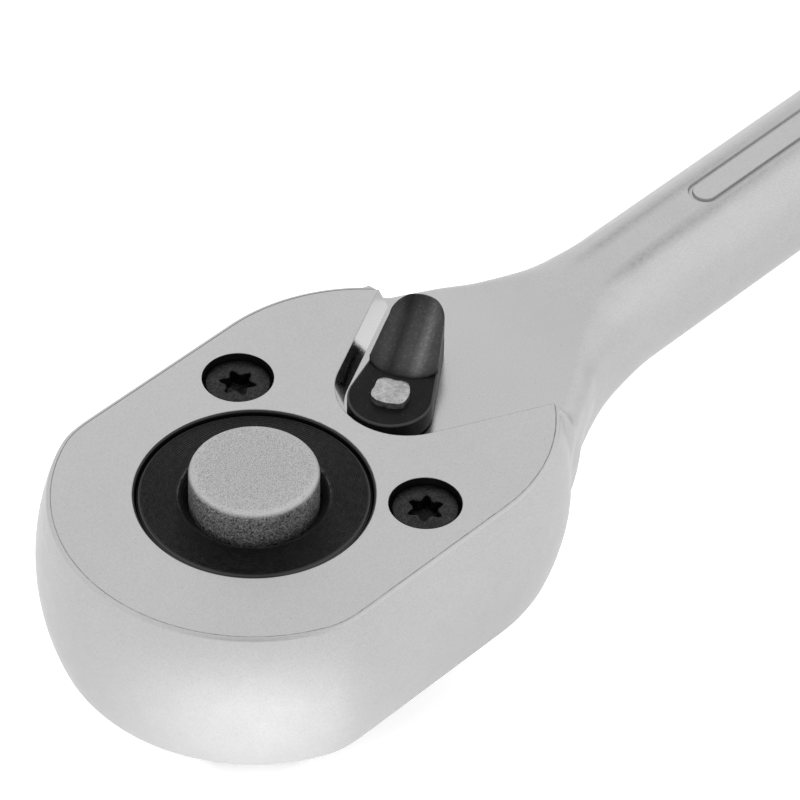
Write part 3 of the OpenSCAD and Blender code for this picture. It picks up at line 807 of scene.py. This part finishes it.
# the opening's wall slopes in towards the deck
carve(cover, prism("tool", notch_outline(),
                   [(DECK - 0.5, 1.225), (HEAD_TOP - 0.09, 0.02), (HEAD_TOP - 0.03, -0.01), (HEAD_TOP, -0.10),
                    (HEAD_TOP + 1, -0.6)]))
tools = [lathe("tool", [(0, DECK - 1), (BORE_R, DECK - 1), (BORE_R, HEAD_TOP - 0.3),
                        (BORE_R + 0.08, HEAD_TOP - 0.16), (BORE_R + 0.3, HEAD_TOP), (BORE_R + 1.3, HEAD_TOP + 1),
                        (0, HEAD_TOP + 1)], 192)]
for s in (1, -1):
    tools.append(lathe("tool", [(0, DECK - 1), (2.0, DECK - 1), (2.0, DECK + 0.2), (SCREW_R, SCREW_TOP - 0.42),
                                (RECESS_R, SCREW_TOP), (RECESS_R, HEAD_TOP - 0.04), (RECESS_R + 0.04, HEAD_TOP),
                                (RECESS_R + 1, HEAD_TOP + 0.96), (0, HEAD_TOP + 0.96)], 96,
                       Matrix.Translation((SCREW_X, s * SCREW_Y, 0))))
carve(cover, *tools)
dress(cover, COVER, "wrench_body", ["cover_plate"], 30)


# ---- cover screws
def star(r_in, r_out, n=120):
    """Outline of a six-lobed socket."""
    pts = []
    for i in range(n):
        a = TAU * i / n
        r = r_in + (r_out - r_in) * (0.5 + 0.5 * math.cos(6 * a)) ** 1.5
        pts.append((r * math.cos(a), r * math.sin(a)))
    return pts


def screw(name, y, turn, node):
    place = Matrix.Translation((SCREW_X, y, 0)) @ Matrix.Rotation(turn, 4, "Z")
    ob = lathe(name, [(0, SCREW_LOW), (1.5, SCREW_LOW), (1.88, SCREW_LOW + 0.4), (1.88, DECK + 0.1),
                      (SCREW_R - 0.14, SCREW_TOP - 0.48), (SCREW_R - 0.02, SCREW_TOP - 0.38),
                      (SCREW_R - 0.34, SCREW_TOP - 0.03), (SCREW_R - 0.40, SCREW_TOP), (0, SCREW_TOP)], 96, place)
    socket = prism("tool", star(1.28, 1.95), [(SCREW_TOP - 1.35, 0.16), (SCREW_TOP - 0.1, 0.0),
                                              (SCREW_TOP, -0.1), (SCREW_TOP + 0.5, -0.6)], place)
    pit = lathe("tool", [(0, SCREW_TOP - 1.9), (1.1, SCREW_TOP - 1.3), (0, SCREW_TOP - 1.2)], 48, place)
    carve(ob, socket, pit)
    return dress(ob, BLACK_SCREW, "wrench_body", [node], 34)


screw("screw_left", SCREW_Y, math.radians(4), "cover_screw_left")
screw("screw_right", -SCREW_Y, math.radians(38), "cover_screw_right")


# ---- drive gear
def gear_outline():
    pts = []
    for i in range(72):
        for k, (r, h) in enumerate(((12.6, -2.1), (13.2, -0.35), (13.2, 0.35), (12.6, 2.1))):
            a = math.radians(5 * i + h)
            pts.append((r * math.cos(a), r * math.sin(a)))
    return pts


GEAR_LOW, GEAR_HIGH = POCKET_LOW + 0.6, DECK - 0.3
CAP_SEAT = BUTTON_LOW - 3.0
gear = prism("drive_gear_black", gear_outline(), [(GEAR_LOW, 0.0), (GEAR_HIGH, 0.0)])
journal = lathe("tool", [(0, 0), (10.6, 0), (10.75, 0.05), (11.0, 0.35), (11.0, 8), (JOURNAL_R, 8),
                         (JOURNAL_R, JOURNAL_TOP - 0.50), (12.12, JOURNAL_TOP - 0.36), (12.02, JOURNAL_TOP - 0.22),
                         (11.86, JOURNAL_TOP - 0.10), (11.66, JOURNAL_TOP - 0.02), (11.58, JOURNAL_TOP),
                         (0, JOURNAL_TOP)], 192)


def rounded_square(w, r, n=8):
    pts = []
    for q in range(4):
        a0 = q * math.pi / 2
        cx, cy = (w - r) * (1 if q in (0, 3) else -1), (w - r) * (1 if q in (0, 1) else -1)
        pts += arc(cx, cy, r, a0, a0 + math.pi / 2, n)
    return pts


ball = middle("detent_ball")
BALL_TURN = math.atan2(ball[1], ball[0])
square = prism("tool", rounded_square(6.35, 1.3),
               [(SQUARE_LOW, 1.5), (SQUARE_LOW + 0.15, 1.1), (SQUARE_LOW + 0.6, 0.5), (SQUARE_LOW + 1.5, 0.0),
                (1.0, 0.0)], Matrix.Rotation(BALL_TURN, 4, "Z"))
carve(gear, journal, square, mode="UNION")
BALL_R = (high("detent_ball")[2] - low("detent_ball")[2]) / 2 + 0.04
half_circle = [(BALL_R * math.sin(math.pi * i / 32), -BALL_R * math.cos(math.pi * i / 32)) for i in range(33)]
sphere = lathe("tool", half_circle, 64, Matrix.Translation(ball))
BALL_OUT = math.hypot(ball[0], ball[1])
sideways = (Matrix.Rotation(BALL_TURN, 4, "Z") @ Matrix.Translation((BALL_OUT - 1.5, 0, ball[2]))
            @ Matrix.Rotation(math.pi / 2, 4, "Y"))
carve(
    gear,
    lathe("tool", [(0, SQUARE_LOW + 1), (3.66, SQUARE_LOW + 1), (3.66, 3.0), (4.7, 3.0), (4.7, CAP_SEAT),
                   (6.77, CAP_SEAT), (6.77, JOURNAL_TOP - 1.03), (7.55, JOURNAL_TOP - 0.22), (7.9, JOURNAL_TOP),
                   (8.6, JOURNAL_TOP + 0.8), (0, JOURNAL_TOP + 0.8)], 160),
    lathe("tool", [(0, -1.5), (BALL_R, -1.5), (BALL_R, 1.5), (0, 1.5)], 64, sideways),
    sphere,
)
dress(gear, BLACK_GEAR, "drive", ["drive_gear"], 28)

# ---- quick-release button
profile = [(0, BUTTON_LOW), (BUTTON_R - 0.4, BUTTON_LOW), (BUTTON_R, BUTTON_LOW + 0.4)]
profile += [(BUTTON_R, BUTTON_LOW + 0.4 + (BUTTON_TOP - CROWN_R - BUTTON_LOW - 0.4) * i / 6) for i in range(1, 6)]
profile += [(BUTTON_R - CROWN_R + CROWN_R * math.cos(math.radians(a)),
             BUTTON_TOP - 0.04 - CROWN_R + CROWN_R * math.sin(math.radians(a))) for a in range(0, 91, 9)]
profile += [(BUTTON_R * f, BUTTON_TOP - 0.04 * f) for f in (0.7, 0.5, 0.25)] + [(0, BUTTON_TOP)]
button = lathe("push_button", profile, 144)
dress(button, BLASTED, "release", ["release_button"], 40)

# ---- reversing lever
AT_SELECTOR = Matrix.Translation((SELECTOR_X, 0, 0)) @ Matrix.Rotation(LEVER_ANGLE, 4, "Z")


def lever_half(x):
    """Half width of the lever at x along it."""
    if x <= 0.4:
        return math.sqrt(max(0.0, HUB_R ** 2 - x ** 2))
    if x < TIP_X:
        return 4.48 + (TIP_R - 4.48) * (x - 0.4) / (TIP_X - 0.4)
    return math.sqrt(max(0.0, TIP_R ** 2 - (x - TIP_X) ** 2))


def lever_outline():
    upper = [(-HUB_R * math.cos(math.pi / 2 * i / 24), HUB_R * math.sin(math.pi / 2 * i / 24)) for i in range(25)]
    upper += [(x, lever_half(x)) for x in [0.4 + 9.2 * i / 20 for i in range(21)]]
    upper += arc(TIP_X, 0, TIP_R, math.pi / 2 - 0.06, 0, 22)
    return mirrored(upper)


plate = prism("reversing_lever", lever_outline(),
              [(LEVER_LOW, 0.12), (LEVER_LOW + 0.12, 0.0), (PLATE_TOP - 0.26, 0.0), (PLATE_TOP - 0.11, 0.04),
               (PLATE_TOP - 0.03, 0.12), (PLATE_TOP, 0.25)], AT_SELECTOR)


def pad_height(x, y, v, start, end):
    """Height of the scooped thumb pad: a floor rising to the tip inside a raised lip."""
    t = min(1.0, max(0.0, (x - PAD_X) / (REACH - 0.5 - PAD_X)))
    lip = 0.14 + 0.78 * ease(t * 1.5)
    floor = PLATE_TOP + 0.16 + (LEVER_CREST - 0.90 - PLATE_TOP - 0.16) * t ** 1.35
    wide = lever_half(min(x, TIP_X)) if x < TIP_X else TIP_R
    d = min(wide * (1 - abs(v)), (end - x) * 0.8)
    z = floor + lip * max(0.0, 1 - d / LIP) ** 1.7
    e = min(wide * (1 - abs(v)), end - x, (x - start) * 0.9)
    if e < SOFT_EDGE:
        z -= SOFT_EDGE - math.sqrt(max(0.0, SOFT_EDGE ** 2 - (SOFT_EDGE - e) ** 2))
    return min(z, LEVER_CREST)


def build_pad():
    nu = nv = 56
    top, base = [], []
    for i in range(nu + 1):
        u = 0.5 - 0.5 * math.cos(math.pi * i / nu)
        for j in range(nv + 1):
            v = math.sin(math.pi * (j / nv - 0.5))
            start = PAD_X + 2.0 * abs(v) ** 2.4
            end = TIP_X - 0.02 + (TIP_R - 0.02) * math.sqrt(max(0.0, 1 - v * v))
            x = start + (end - start) * u
            y = v * (lever_half(min(x, TIP_X)) - 0.02 if x < TIP_X else TIP_R - 0.02)
            top.append((x, y, pad_height(x, y, v, start, end)))
            base.append((x, y, PLATE_TOP - 0.5))
    w = nv + 1
    verts = top + base
    k = len(top)
    faces = []
    for i in range(nu):
        for j in range(nv):
            a = i * w + j
            faces.append((a, a + 1, a + w + 1, a + w))
            faces.append((k + a, k + a + w, k + a + w + 1, k + a + 1))
    rim = list(range(w)) + [i * w + nv for i in range(1, nu + 1)]
    rim += [nu * w + j for j in range(nv - 1, -1, -1)] + [i * w for i in range(nu - 1, 0, -1)]
    for a, b in zip(rim, rim[1:] + rim[:1]):
        faces.append((a, b, k + b, k + a))
    return piece("tool", [tuple(AT_SELECTOR @ Vector(v)) for v in verts], faces)


def stake_radius(a):
    """Outline of the staked end: a square with worn corners, a little uneven."""
    edge = (abs(math.cos(a)) ** 5 + abs(math.sin(a)) ** 5) ** (-1 / 5)
    wob = 0.13 * noise.noise(Vector((math.cos(a) * 1.5 + 0.7, math.sin(a) * 1.5, 3.1)))
    return STAKE_HALF * min(edge, 1.20) * (1.0 + wob)


def socket_point(a):
    r = stake_radius(a) + 0.035
    return r * math.cos(a), r * math.sin(a)


socket_outline = [socket_point(TAU * i / 72) for i in range(72)]
hole = prism("tool", socket_outline, [(LEVER_LOW - 1, 0.0), (PLATE_TOP + 3, 0.0)], AT_SELECTOR)
carve(plate, build_pad(), mode="UNION")
carve(plate, hole)
dress(plate, LEVER_BLACK, "selector", ["selector_lever"], 38)


# ---- selector shaft with its staked end
def build_stake():
    rings, steps = 12, 72
    verts, faces = [], []
    for i in range(rings + 1):
        f = i / rings
        for s in range(steps):
            a = TAU * s / steps
            r = stake_radius(a)
            x, y = r * f * math.cos(a), r * f * math.sin(a)
            dip = 0.05 * noise.noise(Vector((x * 1.1 + 5, y * 1.1, 0.4)))
            dip += 0.02 * noise.noise(Vector((x * 3, y * 3, 1.4)))
            z = STAKE_TOP - 0.05 + min(0.045, dip) - 0.20 * max(0.0, f - 0.80) ** 1.6 / 0.20 ** 1.6
            verts.append((x, y, z))
        if i:
            for s in range(steps):
                t = (s + 1) % steps
                a, b = (i - 1) * steps, i * steps
                faces.append((a + s, a + t, b + t, b + s))
    base = len(verts)
    last = rings * steps
    for s in range(steps):
        x, y, z = verts[last + s]
        verts.append((x * 0.985, y * 0.985, DECK - 0.5))
    for s in range(steps):
        t = (s + 1) % steps
        faces.append((last + s, last + t, base + t, base + s))
    faces.append(tuple(range(base, base + steps)))
    return piece("tool", [tuple(AT_SELECTOR @ Vector(v)) for v in verts], faces)


ROOF = DECK - 1.3
shaft = lathe("selector_shaft_staked",
              [(0, SHAFT_LOW), (2.7, SHAFT_LOW), (3.0, SHAFT_LOW + 0.3), (3.0, ROOF + 0.25), (2.25, ROOF + 0.25),
               (2.25, ROOF + 1.05), (3.0, ROOF + 1.05), (3.0, DECK), (0, DECK)], 72, AT_SELECTOR)
carve(shaft, build_stake(), mode="UNION")
PLUNGER_Z = middle("pawl_plunger")[2]
bore = AT_SELECTOR @ Matrix.Translation((1.9, 0, PLUNGER_Z)) @ Matrix.Rotation(-math.pi / 2, 4, "Y")
carve(shaft, lathe("tool", [(0, 0), (1.04, 0), (1.04, 8), (0, 8)], 40, bore))
dress(shaft, HAMMERED, "selector", ["selector_shaft"], 38)


# ---- grip
def grip_radius(x):
    t = (x - GRIP_X) / (SLEEVE_END - GRIP_X)
    if t < 0.28:
        return COLLAR_R + (WAIST_R - COLLAR_R) * ease(t / 0.28)
    if t < 0.72:
        return WAIST_R + (BELLY_R - WAIST_R) * ease((t - 0.28) / 0.44)
    return BELLY_R + (TAIL_R - BELLY_R) * ease((t - 0.72) / 0.28)


ALONG = Matrix.Translation((0, 0, HANDLE_Z)) @ Matrix.Rotation(math.pi / 2, 4, "Y")


def groove(x, half=0.85, depth=0.55):
    """Depth at x of the rings moulded into the sleeve."""
    d = 0.0
    for c in GROOVES:
        if abs(x - c) < half:
            d = max(d, depth * math.cos(math.pi / 2 * (x - c) / half) ** 0.8)
    return d


def sleeve_profile():
    pts = [(CORE_R + 0.01, SLEEVE_X), (grip_radius(SLEEVE_X) - 0.35, SLEEVE_X)]
    x, end = SLEEVE_X + 0.35, SLEEVE_END - 0.35
    n = 340
    for i in range(n + 1):
        p = x + (end - x) * i / n
        pts.append((grip_radius(p) - groove(p) - 0.002, p))
    pts += [(grip_radius(SLEEVE_END) - 0.35, SLEEVE_END), (CORE_R + 0.01, SLEEVE_END)]
    return pts


def window(grow):
    """Two cutters, one on each side of the grip, for the window in the sleeve or the pad in it."""
    outline = stadium(WINDOW_START - grow, WINDOW_END + grow, WINDOW_HALF + grow, 24)
    tools = []
    for s in (-1, 1):
        place = Matrix.Translation((0, 0, HANDLE_Z)) @ Matrix.Rotation(math.pi / 2 * s, 4, "X")
        tools.append(prism("tool", outline, [(CORE_R - 1.6, 0.0), (18, 0.0)], place))
    return tools


sleeve = lathe("soft_sleeve", sleeve_profile(), 128, ALONG, loop=True)
carve(sleeve, *window(0.12))
dress(sleeve, SOFT, "wrench_body", ["grip_sleeve"], 35)
collar = [(7.52, GRIP_X), (COLLAR_R - 1.5, GRIP_X), (COLLAR_R - 0.75, GRIP_X + 0.2),
          (COLLAR_R - 0.2, GRIP_X + 0.75), (COLLAR_R - 0.02, GRIP_X + 1.5)]
collar += [(grip_radius(GRIP_X + 1.5 + i) - 0.02, GRIP_X + 1.5 + i) for i in range(1, 5)]
collar += [(grip_radius(SLEEVE_X) - 0.25, SLEEVE_X - 0.06), (CORE_R, SLEEVE_X - 0.06)]
collar += [(CORE_R, SLEEVE_X + 2 + (SLEEVE_END - SLEEVE_X - 2) * i / 20) for i in range(21)]
collar += [(0, SLEEVE_END), (0, GRIP_X + 4.0), (7.52, GRIP_X + 4.0)]
core = lathe("hard_core", collar, 128, ALONG)
pads = []
for tool in window(0.0):
    skin = [(grip_radius(p) - 0.25, p) for p in range(130, 211)]
    carve(tool, lathe("tool", [(0, 130), *skin, (0, 210)], 160, ALONG), mode="INTERSECT")
    pads.append(tool)
carve(core, *pads, mode="UNION")
dress(core, HARD, "wrench_body", ["grip_core"], 35)

# ---- end cap with the hanging hole
dome = [(max(0.0, 12.19 * math.cos(math.radians(a * 0.93)) ** 0.55),
         SLEEVE_END + 0.02 + (WRENCH_END - SLEEVE_END - 0.02) * math.sin(math.radians(a))) for a in range(3, 91, 3)]
cap = lathe("hanging_cap", [(0, SLEEVE_END), (TAIL_R - 0.3, SLEEVE_END), (12.19, SLEEVE_END + 0.3), *dome,
                            (0, WRENCH_END)], 144, ALONG)


def tongue(x):
    """Half thickness of the cap, flattened towards its hole."""
    return 12.4 - 6.6 * ease((x - SLEEVE_END - 1.0) / 8.5)


side = [(SLEEVE_END - 1 + 18 * i / 60, tongue(SLEEVE_END - 1 + 18 * i / 60)) for i in range(61)]
side = [(x, -h) for x, h in side] + [(x, h) for x, h in side[::-1]]
upright = Matrix.Translation((0, 0, HANDLE_Z)) @ Matrix.Rotation(math.pi / 2, 4, "X")
carve(cap, prism("tool", side, [(-20, 0.0), (20, 0.0)], upright), mode="INTERSECT")
half = tongue(HANG_X)
hole = lathe("tool", [(0, -half - 3), (6.2, -half - 3), (4.3, -half - 0.02), (3.5, -half + 0.55),
                      (3.2, -half + 1.3), (3.2, half - 1.3), (3.5, half - 0.55), (4.3, half + 0.02),
                      (6.2, half + 3), (0, half + 3)], 80, Matrix.Translation((HANG_X, 0, HANDLE_Z)))
carve(cap, hole)
dress(cap, HARD, "wrench_body", ["end_cap"], 30)

# ---- pieces kept from the CAD
for node, material in {
    "thrust_washer": BRONZE, "release_pin": GROUND, "release_spring": SPRING, "detent_ball": GROUND,
    "pawl": PAWL_STEEL, "pawl_pin": GROUND, "selector_seal": SEAL, "pawl_plunger": GROUND,
    "plunger_spring": SPRING,
}.items():
    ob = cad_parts[node]
    ob.data.materials.clear()
    ob.data.materials.append(material)

# ---- floor, light, camera
def smooth_range(tree, value, lo, hi, out_lo, out_hi):
    n = tree.nodes.new("ShaderNodeMapRange")
    n.interpolation_type = "SMOOTHSTEP"
    tree.links.new(value, n.inputs["Value"])
    for k, v in (("From Min", lo), ("From Max", hi), ("To Min", out_lo), ("To Max", out_hi)):
        n.inputs[k].default_value = v
    return n.outputs["Result"]


def combine(tree, op, a, b):
    n = tree.nodes.new("ShaderNodeMath")
    n.operation = op
    for i, v in enumerate((a, b)):
        if isinstance(v, (int, float)):
            n.inputs[i].default_value = v
        else:
            tree.links.new(v, n.inputs[i])
    return n.outputs[0]


def measure(tree, op, vector, fixed):
    """DISTANCE or DOT_PRODUCT of a vector socket and a fixed vector."""
    n = tree.nodes.new("ShaderNodeVectorMath")
    n.operation = op
    tree.links.new(vector, n.inputs[0])
    n.inputs[1].default_value = fixed
    return n.outputs["Value"]


# The floor is a light table: lit from below so that it stays white right up to the tool,
# and a little brighter in front of the head. Places and distances are in metres.
TABLE_GLOW, TABLE_X, TABLE_FADE = 0.31, 0.06, (0.16, 0.34)
SPOT_GLOW, SPOT_X, SPOT_Y, SPOT_FADE = 1.10, -0.034, -0.034, (0.004, 0.058)
FLOOR_X, FLOOR_SIZE, FLOOR_GAP = 0.1, 6, 0.0002

bpy.ops.mesh.primitive_plane_add(size=FLOOR_SIZE, location=(FLOOR_X, 0, cad_box[0].z - FLOOR_GAP))
floor = bpy.context.object
floor.name = "floor"
pale = bpy.data.materials.new("pale_floor")
pale.use_nodes = True
pale_tree = pale.node_tree
pale_bsdf = pale_tree.nodes["Principled BSDF"]
pale_bsdf.inputs["Base Color"].default_value = (0.93, 0.93, 0.93, 1)
pale_bsdf.inputs["Roughness"].default_value = 0.9
pale_bsdf.inputs["Specular IOR Level"].default_value = 0.1
pale_bsdf.inputs["Emission Color"].default_value = (1, 1, 1, 1)
on_floor = pale_tree.nodes.new("ShaderNodeTexCoord").outputs["Object"]
spot = measure(pale_tree, "DISTANCE", on_floor, (SPOT_X - FLOOR_X, SPOT_Y, 0))
spot = smooth_range(pale_tree, spot, *SPOT_FADE, SPOT_GLOW, 0.0)
table = measure(pale_tree, "DISTANCE", on_floor, (TABLE_X - FLOOR_X, 0, 0))
table = smooth_range(pale_tree, table, *TABLE_FADE, TABLE_GLOW, 0.0)
pale_tree.links.new(combine(pale_tree, "ADD", spot, table), pale_bsdf.inputs["Emission Strength"])
floor.data.materials.append(pale)

AZIMUTH, ELEVATION, ROLL = math.radians(222.83), math.radians(42.55), math.radians(1.28)
BACK = Vector((math.cos(AZIMUTH) * math.cos(ELEVATION), math.sin(AZIMUTH) * math.cos(ELEVATION),
               math.sin(ELEVATION)))  # from the tool towards the camera

# A white tent, dimmer overhead and at its door behind the camera, brighter on one side.
WORLD_LIGHT = 1.40
TENT_SIDE = (0.59, -0.57, 0.57)
world = bpy.data.worlds.new("studio")
scene.world = world
world.use_nodes = True
sky_tree = world.node_tree
sky = sky_tree.nodes["Background"]
sky.inputs[0].default_value = (1, 1, 1, 1)
look = sky_tree.nodes.new("ShaderNodeTexCoord").outputs["Generated"]
parts = []
for direction, start, full, level in (((0, 0, 1), 0.82, 0.95, 0.55), (tuple(BACK), 0.90, 0.985, 0.45),
                                      (TENT_SIDE, 0.72, 0.97, 1.22)):
    facing = measure(sky_tree, "DOT_PRODUCT", look, direction)
    parts.append(smooth_range(sky_tree, facing, start, full, 1.0, level))
tent = combine(sky_tree, "MULTIPLY", combine(sky_tree, "MULTIPLY", parts[0], parts[1]), parts[2])
sky_tree.links.new(combine(sky_tree, "MULTIPLY", tent, WORLD_LIGHT), sky.inputs[1])

# Two long overhead strips, one to each side, pointing straight down.
STRIP_POWER, STRIP_SIZE, STRIP_HEIGHT, STRIP_X = 1.5, (0.42, 1.5), 1.3, 0.04
across = Vector((math.sin(AZIMUTH), -math.cos(AZIMUTH), 0))  # towards the picture's left
for name, side in (("strip_left", 0.50), ("strip_right", -0.50)):
    strip = bpy.data.lights.new(name, "AREA")
    strip.shape, strip.size, strip.size_y, strip.energy = "RECTANGLE", *STRIP_SIZE, STRIP_POWER
    ob = bpy.data.objects.new(name, strip)
    ob.location = across * side + Vector((STRIP_X, 0, STRIP_HEIGHT))
    ob.rotation_euler = (0, 0, AZIMUTH + math.pi / 2)
    scene.collection.objects.link(ob)

CAMERA_DISTANCE, LENS = 0.519, 225
AIM = Vector((20.46, -0.96, HEAD_TOP)) * MM
camera_data = bpy.data.cameras.new("camera")
camera = bpy.data.objects.new("camera", camera_data)
scene.collection.objects.link(camera)
scene.camera = camera
right = Vector((0, 0, 1)).cross(BACK).normalized()
up = BACK.cross(right)
rolled_right = math.cos(ROLL) * right + math.sin(ROLL) * up
rolled_up = -math.sin(ROLL) * right + math.cos(ROLL) * up
camera_data.lens = LENS
camera_data.sensor_width = 36
camera_data.clip_start, camera_data.clip_end = 0.02, 20
camera.location = AIM + BACK * CAMERA_DISTANCE
camera.rotation_mode = "QUATERNION"
camera.rotation_quaternion = Matrix((rolled_right, rolled_up, BACK)).transposed().to_quaternion()
scene.view_settings.view_transform = "Standard"
